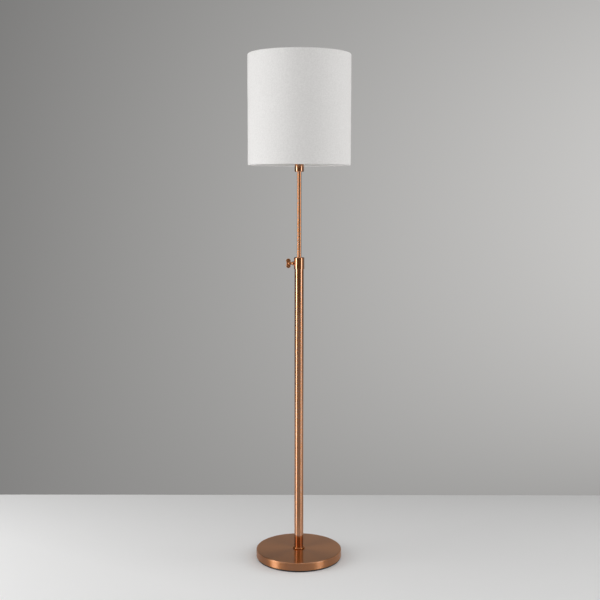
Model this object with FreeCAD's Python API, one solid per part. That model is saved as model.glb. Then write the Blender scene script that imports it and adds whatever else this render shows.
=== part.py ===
import FreeCAD, Part
import math
import os

# Telescopic floor lamp: round weighted base, fixed lower column, sliding and turning
# upper mast, clamped by a winged screw through the collar, and a drum shade that hangs
# on a harp over a screw-base bulb.
#
# Frame: millimetres, +Z up. The origin is the centre of the base pad's underside, on the
# floor. -Y is the front of the lamp and the clamp screw points along -X.
# Each function builds one sub-assembly and returns its pieces by name.

V = FreeCAD.Vector
UP = V(0, 0, 1)
LEFT = V(-1, 0, 0)
FRONT = V(0, -1, 0)
BACK = V(0, 1, 0)

# ---- Clearances ------------------------------------------------------------------
running_gap = 0.05         # radial, a shaft or slider in its own bore
thread_gap = 0.05          # radial, a threaded rod in its tapped hole
glue_gap = 0.1             # radial, between layers that are glued or pushed together
loose_gap = 0.3            # between pieces that pass without guiding each other
stop_gap = 0.5             # left between two stops at the end of a travel
overcut = 1.0              # a cutting shape runs this far past the surface it cuts

# ---- Threaded hollow rod (10 mm lamp nipple) -------------------------------------
nipple_radius = 4.9
nipple_bore = 3.2
nipple_sink = 2.0          # its end lies this far inside the piece it is screwed into
nipple_foot_inset = 0.5    # the base's rod ends this far above the pad
nipple_hub_sink = 1.0      # the mast's rod ends this far below the holder's hub
nut_across_flats = 16.0
nut_thickness = 5.0

# ---- Base ------------------------------------------------------------------------
base_radius = 130.0        # outside of the spun cover
pad_thickness = 5.0
pad_inset = 2.5            # the pad's edge lies inside the cover's edge
pad_hole_radius = 32.0     # leaves the nut within reach from below
cover_height = 23.5
cover_wall = 1.0
cover_edge_round = 2.4
cover_foot_round = 1.2
cover_lip = 2.2            # rim turned in under the weight
cover_lip_thickness = 0.8
weight_recess_radius = 26.0
weight_recess_depth = 9.0
weight_pocket_depth = 13.5
weight_pocket_inner = 40.0
weight_pocket_outer = 114.0
weight_rib_width = 26.0
weight_rib_count = 6
weight_edge_chamfer = 2.0
washer_radius = 19.0
washer_thickness = 1.5

# ---- Cord outlet at the back of the base -----------------------------------------
outlet_height = 12.0
outlet_bore = 3.25         # takes a 6 mm round mains lead
outlet_barrel_radius = 4.2
outlet_barrel_length = 12.0
outlet_flange_radius = 5.4
outlet_flange_thickness = 1.6
outlet_nose_length = 4.4
outlet_nose_radius = 4.1
outlet_nose_cone = 0.6     # cone between the flange and the nose
channel_width = 9.6        # cast groove under the weight, outlet to nut recess
channel_depth = 11.6

# ---- Foot ring and lower column --------------------------------------------------
ring_radius = 18.0
ring_thickness = 5.0
ring_seat_depth = 1.5      # the column's foot sits this far down in the ring
column_radius = 13.75
column_wall = 1.2
column_length = 856.5
plug_height = 16.0

# ---- Collar ----------------------------------------------------------------------
collar_radius = 15.4
collar_height = 35.0
collar_top_round = 2.0
collar_foot_chamfer = 0.5
collar_bore = 8.2
spigot_length = 25.0       # the collar's plug inside the column
bush_wall = 3.0
bush_length = 11.0
bush_sink = 1.0            # the bush lies this far below the collar's top face
bush_lead_in = 0.4

# ---- Clamp screw (M5, its head a two-lobed wing) ---------------------------------
screw_drop = 17.9          # screw axis below the collar's top face
screw_radius = 2.5
screw_chamfer = 0.3
tip_radius = 2.4
tip_length = 2.5
tip_stem_radius = 1.1
tip_stem_length = 2.0
shoulder_radius = 6.0
shoulder_length = 3.5
shoulder_chamfer = 0.6
waist_radius = 3.7
swell_start = 3.4          # before the wing, where the waist starts to swell
swell_length = 2.4         # past the wing's edge, to the thickest part of the swelling
swell_rise = 0.9           # the swelling's radius over the waist's
neck_length = 10.0         # from the collar's surface to the wing
wing_width = 13.4          # along the screw
wing_height = 28.6
wing_thickness = 3.6
wing_pinch = 1.3           # dip between the two lobes
wing_flare = 3.0           # hollow arc from the neck into each lobe
wing_neck_inset = 0.9      # the blade starts this far inside the round waist
wing_edge_round = 1.1

# ---- Mast (sliding inner tube) ---------------------------------------------------
mast_radius = 6.5
mast_wall = 1.0
mast_reach = 252.5         # collar's top face to the cup's underside, as photographed
raise_travel = 75.0        # from there up to the stop
guide_length = 30.0
guide_slot = 2.0
guide_ring_sink = 1.2      # counterbore that hides each retaining ring
ring_clip_thickness = 1.0
ring_clip_radius = 8.4
ring_clip_groove = 0.5
ring_clip_gap_angle = 70.0
mast_tail = 4.0            # tube left below the guide bush
insert_length = 14.0

# ---- Cup and its lid under the lamp holder ---------------------------------------
cup_radius = 13.75
cup_height = 24.0
cup_wall = 1.2
cup_floor = 2.0
cup_foot_round = 2.6
cup_inner_chamfer = 1.4
cup_lid_thickness = 1.5

# ---- Harp saddle, harp and sleeves -----------------------------------------------
saddle_thickness = 1.5
saddle_width = 16.0
saddle_flat = 18.0         # half length of its flat middle
saddle_end_width = 9.0
saddle_rise = 13.0
saddle_bend = 4.0
saddle_slope = 0.75        # rise of its slanting run for each unit outward
harp_leg_spread = 31.0     # half distance between the legs
harp_wire_radius = 2.0
post_height = 8.0
harp_height = 289.0        # saddle's underside to the harp's top face
harp_leg_length = 44.0     # straight part that the sleeve slides on
harp_belly_spread = 52.0
harp_slope_rise = 38.0
harp_slope_round = 55.0
harp_top_round = 43.0
harp_eye_radius = 10.0
harp_eye_thickness = 2.5
sleeve_radius = 4.0
sleeve_length = 18.0

# ---- Lamp holder -----------------------------------------------------------------
holder_cap_foot = 9.0
holder_cap_radius = 16.8
holder_cap_height = 16.0
holder_wall = 0.5
holder_hub_radius = 7.5
holder_hub_height = 9.0
holder_belly = 1.2         # the cap's curve lies this far inside its rim at half height
holder_lap = 3.0           # the shell reaches this far down into the cap
holder_shell_height = 46.0
liner_wall = 0.6
liner_inset = 0.5          # the liner starts this far above the shell's lower edge
core_height = 13.0
core_lug_height = 4.0
core_sink = 2.0            # the core starts this far below the cap's rim
core_chamfer = 1.0
screw_shell_radius = 13.7
screw_shell_wall = 0.4
screw_shell_height = 23.0
contact_width = 5.0
contact_thickness = 0.5
contact_bend = 2.0
contact_rise = 3.0         # the bulb's tip stands this far over the core
terminal_radius = 2.6
terminal_spread = 9.5
terminal_head = 1.4
terminal_rim = 0.4         # lug left round each screw's head
terminal_slot = 0.6
key_height = 7.5           # switch shaft above the cap's rim
key_shaft_radius = 2.0
key_shaft_depth = 9.0      # how far it reaches into the core
key_neck_length = 5.0
key_radius = 6.5
key_length = 13.0
key_flute_count = 12
key_flute_radius = 0.8
key_foot_taper = 2.0
key_end_chamfer = 1.5

# ---- Bulb (26 mm screw base) -----------------------------------------------------
bulb_cap_radius = 13.0
bulb_cap_height = 24.0
bulb_tip_radius = 4.6
bulb_tip_height = 2.2
bulb_cap_step = 1.0        # glass ring between the tip and the threaded cap
bulb_neck_radius = 13.4
bulb_neck_height = 34.0
bulb_seam_radius = 27.0
bulb_globe_radius = 30.0
bulb_wall = 1.5

# ---- Shade -----------------------------------------------------------------------
shade_radius = 151.5
shade_height = 320.7
shade_fabric = 0.7
shade_liner = 0.8
shade_wire_radius = 1.5
trim_leg = 6.0
trim_turn_in = 10.0        # degrees that the fold passes its ring
fold_gap = 0.35            # between the ring wire and the linen folded over it
spider_recess = 21.1       # hub's top face below the shade's rim
spider_hub_radius = 12.0
spider_hub_thickness = 2.0
spider_arm_radius = 1.4
spider_arm_bend = 6.0
spider_arm_count = 3
stud_radius = 3.0
stud_flange_radius = 7.5
stud_flange_thickness = 2.0
stud_flange_gap = 0.1      # turning gap on the harp's eye
stud_head_radius = 4.6
stud_head_thickness = 2.0
stud_length = 8.0          # thread above the hub
stud_chamfer = 0.5
stud_head_chamfer = 1.0
finial_foot_radius = 6.5
finial_ball_radius = 6.2
finial_height = 14.0
finial_foot_height = 1.2

# ---- Heights that follow from the sizes above ------------------------------------
base_top = pad_thickness + cover_height
column_foot = base_top + ring_thickness - ring_seat_depth
column_top = column_foot + column_length
column_bore = column_radius - column_wall
collar_top = column_top + collar_height
spigot_foot = column_top - spigot_length
screw_height = collar_top - screw_drop
screw_mouth = -(mast_radius + running_gap)      # X of the clamp tip's flat face
cup_foot = collar_top + mast_reach
cup_top = cup_foot + cup_height
saddle_foot = cup_top + cup_lid_thickness
holder_foot = saddle_foot + saddle_thickness
holder_rim = holder_foot + holder_cap_height
key_axis = holder_rim + key_height
core_foot = holder_rim - core_sink
core_top = core_foot + core_height
core_radius = holder_cap_radius - 2 * holder_wall - liner_wall - 3 * glue_gap
harp_foot = saddle_foot + saddle_thickness / 2 + saddle_rise + post_height
harp_top = saddle_foot + harp_height
hub_foot = harp_top + stud_flange_gap + stud_flange_thickness
shade_top = hub_foot + spider_hub_thickness + spider_recess
shade_foot = shade_top - shade_height
guide_top = spigot_foot - stop_gap - raise_travel
guide_foot = guide_top - guide_length
mast_foot = guide_foot - mast_tail


# ---- Shape helpers ---------------------------------------------------------------
def outline(steps, place):
    """Closed wire: a step (a, b) ends a line, a step ((a, b), (c, d)) ends an arc."""
    edges = []
    here = place(*steps[0])
    for step in list(steps[1:]) + [steps[0]]:
        if isinstance(step[0], tuple):
            end = place(*step[1])
            edges.append(Part.Arc(here, place(*step[0]), end).toShape())
        else:
            end = place(*step)
            if end.distanceToPoint(here) > 1e-6:
                edges.append(Part.LineSegment(here, end).toShape())
        here = end
    return Part.Wire(edges)


def turned(*steps):
    """Solid turned about Z from an outline of (radius, height) steps."""
    face = Part.Face(outline(steps, lambda r, z: V(r, 0, z)))
    return face.revolve(V(0, 0, 0), UP, 360)


def ring(inner, outer, low, high):
    """Plain sleeve or washer round Z."""
    return turned((inner, low), (outer, low), (outer, high), (inner, high))


def disc(radius, low, high):
    return Part.makeCylinder(radius, high - low, V(0, 0, low))


def round_corner(radius, height, size, side=1, end=1):
    """Two steps that round an outline's corner: side is 1 outside, end is 1 at the top."""
    slope = size * (1 - math.sqrt(0.5))
    first = (radius, height - end * size)
    middle = (radius - side * slope, height - end * slope)
    return first, (middle, (radius - side * size, height))


def bent_path(points, bends):
    """Wire of straight runs, each inner corner turned on a tangent arc of its bend."""
    edges = []
    here = points[0]
    for corner, after, bend in zip(points[1:-1], points[2:], bends):
        back = (points[points.index(corner) - 1] - corner).normalize()
        ahead = (after - corner).normalize()
        half_turn = (math.pi - back.getAngle(ahead)) / 2
        set_back = bend * math.tan(half_turn)
        start = corner + back * set_back
        end = corner + ahead * set_back
        toward = (back + ahead).normalize()
        middle = corner + toward * (bend / math.cos(half_turn) - bend)
        edges.append(Part.LineSegment(here, start).toShape())
        edges.append(Part.Arc(start, middle, end).toShape())
        here = end
    edges.append(Part.LineSegment(here, points[-1]).toShape())
    return Part.Wire(edges)


def bent_wire(points, bends, radius):
    """Round wire along a bent path."""
    path = bent_path(points, bends)
    section = Part.Wire(Part.makeCircle(radius, points[0], points[1] - points[0]))
    return path.makePipeShell([section], True, False)


def turned_about_x(height, *steps):
    """Solid turned about the X axis at a height, from (distance along -X, radius) steps."""
    face = Part.Face(outline(steps, lambda x, r: V(-x, 0, height + r)))
    return face.revolve(V(0, 0, height), V(1, 0, 0), 360)


def turned_about_y(height, sign, *steps):
    """Solid turned about the Y axis at a height, from (distance along sign * Y, radius) steps."""
    face = Part.Face(outline(steps, lambda y, r: V(0, sign * y, height + r)))
    return face.revolve(V(0, 0, height), V(0, 1, 0), 360)


def hex_nut(bore, foot):
    """Hexagon nut with its corners turned off, standing on foot."""
    corner = nut_across_flats / 2 / math.cos(math.pi / 6)
    points = [V(corner * math.cos(a), corner * math.sin(a), foot)
              for a in (math.pi / 3 * n for n in range(7))]
    prism = Part.Face(Part.makePolygon(points)).extrude(UP * nut_thickness)
    slope = corner - nut_across_flats / 2
    top = foot + nut_thickness
    blank = turned((0, foot), (corner - slope, foot), (corner, foot + slope / 2),
                   (corner, top - slope / 2), (corner - slope, top), (0, top))
    return prism.common(blank).cut(disc(bore, foot, top))


def nipple(low, high):
    """Hollow threaded rod between two heights."""
    return ring(nipple_bore, nipple_radius, low, high)


# ---- Base ------------------------------------------------------------------------
def base_cover():
    """Spun steel shell: flat top, straight wall, lip turned in under the weight."""
    inner = base_radius - cover_wall
    under = base_top - cover_wall
    foot = pad_thickness
    inner_round = cover_edge_round - cover_wall
    outer_edge = round_corner(base_radius, base_top, cover_edge_round)
    inner_edge = round_corner(inner, under, inner_round)
    foot_edge = round_corner(base_radius, foot, cover_foot_round, end=-1)
    shell = turned((nipple_radius + thread_gap, under),
                   (nipple_radius + thread_gap, base_top),
                   (base_radius - cover_edge_round, base_top),
                   (outer_edge[1][0], outer_edge[0]),
                   foot_edge[0], foot_edge[1],
                   (inner - cover_lip, foot),
                   (inner - cover_lip, foot + cover_lip_thickness),
                   (inner, foot + cover_lip_thickness),
                   inner_edge[0], inner_edge[1])
    hole = Part.makeCylinder(outlet_barrel_radius + glue_gap, cover_wall * 6,
                             V(0, inner - cover_wall * 3, outlet_height), BACK)
    return shell.cut(hole)


def base_weight():
    """Cast iron disc with ribbed pockets, a nut recess and a cord groove underneath."""
    outer = base_radius - cover_wall - loose_gap
    foot = pad_thickness
    top = base_top - cover_wall
    rebate = outer - cover_lip
    lip_top = foot + cover_lip_thickness + loose_gap
    blank = turned((nipple_radius + thread_gap, foot), (rebate, foot), (rebate, lip_top),
                   (outer, lip_top), (outer, top - weight_edge_chamfer),
                   (outer - weight_edge_chamfer, top), (nipple_radius + thread_gap, top))
    pockets = ring(weight_pocket_inner, weight_pocket_outer, foot, foot + weight_pocket_depth)
    for n in range(weight_rib_count // 2):
        rib = Part.makeBox(2 * base_radius, weight_rib_width, weight_pocket_depth,
                           V(-base_radius, -weight_rib_width / 2, foot))
        rib.rotate(V(0, 0, 0), UP, 90 + n * 360.0 / weight_rib_count)
        pockets = pockets.cut(rib)
    recess = disc(weight_recess_radius, foot, foot + weight_recess_depth)
    groove = Part.makeBox(channel_width, base_radius, channel_depth,
                          V(-channel_width / 2, 0, foot))
    groove = groove.cut(disc(weight_recess_radius - overcut, foot, foot + channel_depth))
    return blank.cut(pockets).cut(recess).cut(groove)


def cord_bush():
    """Outlet bush in the back of the cover, with a rounded nose outside."""
    inside = base_radius - outlet_barrel_length
    flange = base_radius + outlet_flange_thickness
    nose = flange + outlet_nose_length
    slope = outlet_nose_radius - outlet_bore
    return turned_about_y(outlet_height, 1,
                          (inside, outlet_bore), (inside, outlet_barrel_radius),
                          (base_radius, outlet_barrel_radius),
                          (base_radius, outlet_flange_radius),
                          (flange, outlet_flange_radius),
                          (flange + outlet_nose_cone,
                           outlet_nose_radius + outlet_nose_cone / 2),
                          (nose - slope, outlet_nose_radius),
                          (nose, outlet_bore + slope / 3), (nose, outlet_bore))


def foot_ring():
    """Turned bead round the column's foot, its edge a full round."""
    top = base_top + ring_thickness
    half = ring_thickness / 2
    seat = column_radius + thread_gap
    return turned((nipple_radius + thread_gap, base_top), (ring_radius - half, base_top),
                  ((ring_radius, base_top + half), (ring_radius - half, top)),
                  (seat, top), (seat, column_foot), (nipple_radius + thread_gap, column_foot))


def base():
    recess_top = pad_thickness + weight_recess_depth
    washer_foot = recess_top - washer_thickness
    nut_foot = washer_foot - nut_thickness
    tapped = nipple_radius + thread_gap
    return {
        "base_pad": ring(pad_hole_radius, base_radius - pad_inset, 0, pad_thickness),
        "base_weight": base_weight(),
        "base_cover": base_cover(),
        "cord_bush": cord_bush(),
        "base_nipple": nipple(pad_thickness + nipple_foot_inset,
                              column_foot + plug_height - nipple_sink),
        "base_washer": ring(tapped, washer_radius, washer_foot, recess_top),
        "base_nut": hex_nut(tapped, nut_foot),
        "foot_ring": foot_ring(),
    }


# ---- Lower column, collar and clamp ----------------------------------------------
def collar():
    """Turned collar: spigot in the column, bush seat on top, tapped hole for the screw."""
    seat = mast_radius + running_gap + bush_wall + glue_gap
    seat_foot = collar_top - bush_sink - bush_length
    top_edge = round_corner(collar_radius, collar_top, collar_top_round)
    spigot = column_bore - glue_gap
    body = turned((collar_bore, spigot_foot), (spigot - collar_foot_chamfer, spigot_foot),
                  (spigot, spigot_foot + collar_foot_chamfer), (spigot, column_top),
                  (collar_radius - collar_foot_chamfer, column_top),
                  (collar_radius, column_top + collar_foot_chamfer),
                  top_edge[0], top_edge[1],
                  (seat + bush_lead_in, collar_top), (seat, collar_top - bush_lead_in),
                  (seat, seat_foot), (collar_bore, seat_foot))
    tapped = Part.makeCylinder(screw_radius + thread_gap, collar_radius + overcut,
                               V(0, 0, screw_height), LEFT)
    return body.cut(tapped)


def collar_bush():
    """Nylon guide for the mast, pushed into the collar's top."""
    inner = mast_radius + running_gap
    outer = inner + bush_wall
    top = collar_top - bush_sink
    foot = top - bush_length
    return turned((inner, foot), (outer, foot), (outer, top), (inner + bush_lead_in, top),
                  (inner, top - bush_lead_in))


def column():
    return {
        "column_foot_plug": ring(nipple_radius + thread_gap, column_bore - glue_gap,
                                 column_foot, column_foot + plug_height),
        "column_tube": ring(column_bore, column_radius, column_foot, column_top),
        "collar": collar(),
        "collar_bush": collar_bush(),
    }


def wing():
    """Flat two-lobed head in the XZ plane: two round lobes, joined by hollow arcs."""
    near = collar_radius + neck_length
    lobe = wing_width / 2
    mid = near + lobe
    lift = wing_height / 2 - lobe
    neck = waist_radius - wing_neck_inset
    pinch = ((lobe - wing_pinch) ** 2 + lift ** 2 - lobe ** 2) / (2 * wing_pinch)
    pinch_x = mid + lobe - wing_pinch + pinch
    flare_z = neck + wing_flare
    flare_x = mid - math.sqrt((lobe + wing_flare) ** 2 - (lift - flare_z) ** 2)

    def on_lobe(x, z):
        """Point of the upper lobe that faces (x, z)."""
        reach = math.hypot(x - mid, z - lift)
        return mid + (x - mid) * lobe / reach, lift + (z - lift) * lobe / reach

    flare_end = on_lobe(flare_x, flare_z)
    flare_turn = math.atan2(flare_end[1] - flare_z, flare_end[0] - flare_x)
    flare_mid_turn = (flare_turn - math.pi / 2) / 2
    flare_mid = (flare_x + wing_flare * math.cos(flare_mid_turn),
                 flare_z + wing_flare * math.sin(flare_mid_turn))
    pinch_end = on_lobe(pinch_x, 0)
    lobe_top = (mid, lift + lobe)

    def down(point):
        return point[0], -point[1]

    steps = [(flare_x, neck), (flare_mid, flare_end), (lobe_top, pinch_end),
             ((pinch_x - pinch, 0), down(pinch_end)), (down(lobe_top), down(flare_end)),
             (down(flare_mid), (flare_x, -neck))]
    face = Part.Face(outline(steps, lambda x, z: V(-x, -wing_thickness / 2, screw_height + z)))
    blade = face.extrude(BACK * wing_thickness)
    rim = [edge for edge in blade.Edges
           if edge.BoundBox.YLength < 1e-6 and edge.BoundBox.XLength > 1e-6]
    return blade.makeFillet(min(wing_edge_round, wing_thickness * 0.4), rim)


def thumb_screw():
    """Shank, shoulder, waist and winged head in one piece, along -X."""
    end = -screw_mouth + tip_length + running_gap
    stem_end = end + tip_stem_length + loose_gap
    socket = tip_stem_radius + running_gap
    shoulder = collar_radius + stop_gap
    shoulder_end = shoulder + shoulder_length
    near = collar_radius + neck_length
    stem = turned_about_x(
        screw_height,
        (end, socket), (end, screw_radius - screw_chamfer),
        (end + screw_chamfer, screw_radius),
        (shoulder, screw_radius), (shoulder, shoulder_radius - shoulder_chamfer),
        (shoulder + shoulder_chamfer, shoulder_radius),
        (shoulder_end - shoulder_chamfer, shoulder_radius),
        (shoulder_end, shoulder_radius - shoulder_chamfer),
        (near - swell_start, waist_radius),
        ((near - swell_start / 6, waist_radius + swell_rise / 3),
         (near + swell_length, waist_radius + swell_rise)),
        ((near + wing_width * 0.45, waist_radius + swell_rise * 0.7),
         (near + wing_width * 0.7, 0)),
        (stem_end, 0), (stem_end, socket))
    return stem.fuse(wing()).removeSplitter()


def clamp():
    back = -screw_mouth + tip_length
    tip = turned_about_x(screw_height, (-screw_mouth, 0), (-screw_mouth, tip_radius),
                         (back, tip_radius), (back, tip_stem_radius),
                         (back + tip_stem_length, tip_stem_radius),
                         (back + tip_stem_length, 0))
    return {"clamp_tip": tip, "thumb_screw": thumb_screw()}


# ---- Mast ------------------------------------------------------------------------
def guide_bush():
    """Split nylon slider on the mast's lower end: it runs in the column and is the stop."""
    bore = mast_radius + running_gap
    outer = column_bore - running_gap
    sink = ring_clip_radius + loose_gap
    body = turned((bore, guide_foot + guide_ring_sink), (sink, guide_foot + guide_ring_sink),
                  (sink, guide_foot), (outer - bush_lead_in, guide_foot),
                  (outer, guide_foot + bush_lead_in), (outer, guide_top - bush_lead_in),
                  (outer - bush_lead_in, guide_top), (sink, guide_top),
                  (sink, guide_top - guide_ring_sink), (bore, guide_top - guide_ring_sink))
    slot = Part.makeBox(outer, guide_slot, guide_length, V(0, -guide_slot / 2, guide_foot))
    return body.cut(slot)


def clip_heights():
    """Low faces of the two retaining rings, each hidden in the guide bush's counterbore."""
    inset = guide_ring_sink - ring_clip_thickness
    low = guide_foot + guide_ring_sink - inset / 2 - ring_clip_thickness
    high = guide_top - guide_ring_sink + inset / 2
    return low, high


def retaining_rings():
    """Two spring rings that hold the guide bush on the mast."""
    clips = []
    for foot in clip_heights():
        inner = mast_radius - ring_clip_groove + running_gap
        clip = ring(inner, ring_clip_radius, foot, foot + ring_clip_thickness)
        gap = Part.makeCylinder(ring_clip_radius + overcut, ring_clip_thickness, V(0, 0, foot),
                                UP, ring_clip_gap_angle)
        clips.append(clip.cut(gap))
    return Part.makeCompound(clips)


def inner_tube():
    """Upper tube with two grooves for the retaining rings."""
    tube = ring(mast_radius - mast_wall, mast_radius, mast_foot, cup_foot)
    for foot in clip_heights():
        groove = ring(mast_radius - ring_clip_groove, mast_radius + overcut,
                      foot - running_gap, foot + ring_clip_thickness + running_gap)
        tube = tube.cut(groove)
    return tube


def socket_cup():
    """Turned cup on the mast's top, its lower edge rounded."""
    bore = nipple_radius + thread_gap
    inner = cup_radius - cup_wall
    slope = cup_foot_round * (1 - math.sqrt(0.5))
    return turned((bore, cup_foot), (cup_radius - cup_foot_round, cup_foot),
                  ((cup_radius - slope, cup_foot + slope), (cup_radius, cup_foot + cup_foot_round)),
                  (cup_radius, cup_top), (inner, cup_top),
                  (inner, cup_foot + cup_floor + cup_inner_chamfer),
                  (inner - cup_inner_chamfer, cup_foot + cup_floor),
                  (bore, cup_foot + cup_floor))


def mast():
    tapped = nipple_radius + thread_gap
    insert_outer = mast_radius - mast_wall - glue_gap
    insert_foot = cup_foot - insert_length
    return {
        "guide_bush": guide_bush(),
        "retaining_rings": retaining_rings(),
        "inner_tube": inner_tube(),
        "tube_insert": ring(tapped, insert_outer, insert_foot, cup_foot),
        "mast_nipple": nipple(insert_foot + nipple_sink,
                              holder_foot + holder_hub_height - nipple_hub_sink),
        "socket_cup": socket_cup(),
        "cup_nut": hex_nut(tapped, cup_foot + cup_floor),
        "cup_lid": ring(tapped, cup_radius, cup_top, saddle_foot),
    }


# ---- Lamp holder -----------------------------------------------------------------
def harp_saddle():
    """Steel strip over the cup's lid, its arms bent up to two round posts."""
    middle = saddle_foot + saddle_thickness / 2
    shoulder = middle + saddle_rise
    half = harp_leg_spread - saddle_flat
    low_turn = V(saddle_flat, 0, middle)
    high_turn = V(harp_leg_spread, 0, middle + half * saddle_slope)
    end = V(harp_leg_spread, 0, shoulder)
    points = [V(-end.x, 0, end.z), V(-high_turn.x, 0, high_turn.z), V(-low_turn.x, 0, low_turn.z),
              low_turn, high_turn, end]
    path = bent_path(points, [saddle_bend] * 4)
    half_thick = saddle_thickness / 2
    half_wide = saddle_width / 2
    corners = [V(-end.x + s * half_thick, t * half_wide, end.z)
               for s, t in ((-1, -1), (1, -1), (1, 1), (-1, 1), (-1, -1))]
    strip = path.makePipeShell([Part.makePolygon(corners)], True, False)
    reach = end.x + saddle_thickness
    half_end = saddle_end_width / 2
    full = saddle_flat / 2
    plan = [V(x, y, saddle_foot) for x, y in
            ((-reach, -half_end), (-full, -half_wide), (full, -half_wide), (reach, -half_end),
             (reach, half_end), (full, half_wide), (-full, half_wide), (-reach, half_end))]
    taper = Part.Face(Part.makePolygon(plan + plan[:1])).extrude(UP * (saddle_rise + saddle_bend))
    strip = strip.common(taper).cut(disc(nipple_radius + thread_gap, saddle_foot, holder_foot))
    for side in (-1, 1):
        post = Part.makeCylinder(harp_wire_radius, post_height,
                                 V(side * harp_leg_spread, 0, shoulder))
        strip = strip.fuse(post)
    return strip.removeSplitter()


def socket_cap():
    """Pressed brass cap with a tapped hub that screws down on the nipple."""
    bore = nipple_radius + thread_gap
    rim = holder_rim
    floor = holder_foot + holder_wall
    belly = (holder_cap_radius - holder_belly, holder_foot + holder_cap_height * 0.3)
    inner_belly = (belly[0] - holder_wall, belly[1] + holder_wall * 0.6)
    return turned((bore, holder_foot), (holder_cap_foot, holder_foot),
                  (belly, (holder_cap_radius, rim - holder_cap_height * 0.3)),
                  (holder_cap_radius, rim), (holder_cap_radius - holder_wall, rim),
                  (holder_cap_radius - holder_wall, rim - holder_cap_height * 0.3),
                  (inner_belly, (holder_cap_foot, floor + holder_wall)),
                  (holder_hub_radius, floor + holder_wall),
                  (holder_hub_radius, holder_foot + holder_hub_height),
                  (bore, holder_foot + holder_hub_height))


def key_hole(radius):
    """Drill through the holder's walls towards the front, for the switch shaft."""
    return Part.makeCylinder(radius, holder_cap_radius + overcut, V(0, 0, key_axis), FRONT)


def socket_core():
    """Moulded insulator: a puck with two terminal lugs, under the screw shell."""
    lug_foot = core_foot + core_chamfer - core_lug_height
    puck = turned((0, core_foot), (core_radius - core_chamfer, core_foot),
                  (core_radius, core_foot + core_chamfer), (core_radius, core_top), (0, core_top))
    lugs = Part.makeBox(2 * core_radius, 2 * terminal_radius, core_lug_height,
                        V(-core_radius, -terminal_radius, lug_foot))
    lugs = lugs.common(disc(core_radius - core_chamfer, core_foot - core_lug_height, core_top))
    waist = disc(terminal_spread - terminal_radius, core_foot - core_lug_height, core_foot)
    core = puck.fuse(lugs.cut(waist))
    hole = Part.makeCylinder(key_shaft_radius + running_gap, key_shaft_depth + loose_gap,
                             V(0, -core_radius, key_axis), BACK)
    return core.cut(hole)


def terminal_screws():
    """Two cheese-head screws on the core's lugs."""
    foot = core_foot + core_chamfer - core_lug_height - terminal_head
    heads = []
    for side in (-1, 1):
        head = Part.makeCylinder(terminal_radius - terminal_rim, terminal_head,
                                 V(side * terminal_spread, 0, foot))
        slot = Part.makeBox(2 * terminal_radius, terminal_slot, terminal_slot,
                            V(side * terminal_spread - terminal_radius, -terminal_slot / 2, foot))
        heads.append(head.cut(slot))
    return Part.makeCompound(heads)


def centre_contact():
    """Brass tongue, riveted at one side and sprung up under the bulb's tip."""
    low = core_top + contact_thickness / 2
    foot = V(-screw_shell_radius * 0.55, 0, low)
    bend = V(-screw_shell_radius * 0.2, 0, low)
    tip = V(bulb_tip_radius * 0.6, 0, core_top + contact_rise - contact_thickness)
    path = bent_path([foot, bend, tip], [contact_bend])
    half_thick = contact_thickness / 2
    half_wide = contact_width / 2
    corners = [foot + V(0, s * half_wide, t * half_thick)
               for s, t in ((-1, -1), (1, -1), (1, 1), (-1, 1), (-1, -1))]
    return path.makePipeShell([Part.makePolygon(corners)], True, False)


def lamp_holder():
    shell_outer = holder_cap_radius - holder_wall - glue_gap
    shell_inner = shell_outer - holder_wall
    shell_foot = holder_rim - holder_lap
    shell_top = shell_foot + holder_shell_height
    liner_outer = shell_inner - glue_gap
    liner_inner = liner_outer - liner_wall
    bead = holder_wall * 1.6
    shell = turned((shell_inner, shell_foot), (shell_outer, shell_foot),
                   (shell_outer, shell_top - 2 * bead),
                   ((shell_outer + bead, shell_top - bead), (shell_outer, shell_top)),
                   (shell_inner, shell_top))
    screw_shell = ring(screw_shell_radius - screw_shell_wall, screw_shell_radius, core_top,
                       core_top + screw_shell_height)
    hole = key_hole(key_shaft_radius + running_gap)
    return {
        "harp_saddle": harp_saddle(),
        "socket_cap": socket_cap(),
        "socket_shell": shell.cut(hole),
        "socket_liner": ring(liner_inner, liner_outer, shell_foot + liner_inset,
                             shell_top - 2 * liner_inset).cut(hole),
        "socket_core": socket_core(),
        "screw_shell": screw_shell,
        "centre_contact": centre_contact(),
        "terminal_screws": terminal_screws(),
    }


def switch_key():
    """Fluted key on the switch shaft, turned from the front."""
    inner_end = core_radius - key_shaft_depth
    knob_start = holder_cap_radius + key_neck_length
    knob_end = knob_start + key_length
    shaft_end = knob_start + key_length * 0.6
    shaft = turned_about_y(key_axis, -1, (inner_end, 0), (inner_end, key_shaft_radius),
                           (shaft_end, key_shaft_radius), (shaft_end, 0))
    bore = key_shaft_radius + glue_gap
    knob = turned_about_y(key_axis, -1, (knob_start, bore), (knob_start, key_radius * 0.6),
                          (knob_start + key_foot_taper, key_radius),
                          (knob_end - key_end_chamfer, key_radius),
                          (knob_end, key_radius - key_end_chamfer), (knob_end, 0),
                          (shaft_end + glue_gap, 0), (shaft_end + glue_gap, bore))
    flute_path = key_radius + key_flute_radius * 0.3
    for n in range(key_flute_count):
        turn = 2 * math.pi * n / key_flute_count
        start = V(flute_path * math.cos(turn), -knob_start, key_axis + flute_path * math.sin(turn))
        knob = knob.cut(Part.makeCylinder(key_flute_radius, key_length + overcut, start, FRONT))
    return {"switch_shaft": shaft, "switch_knob": knob}


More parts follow.
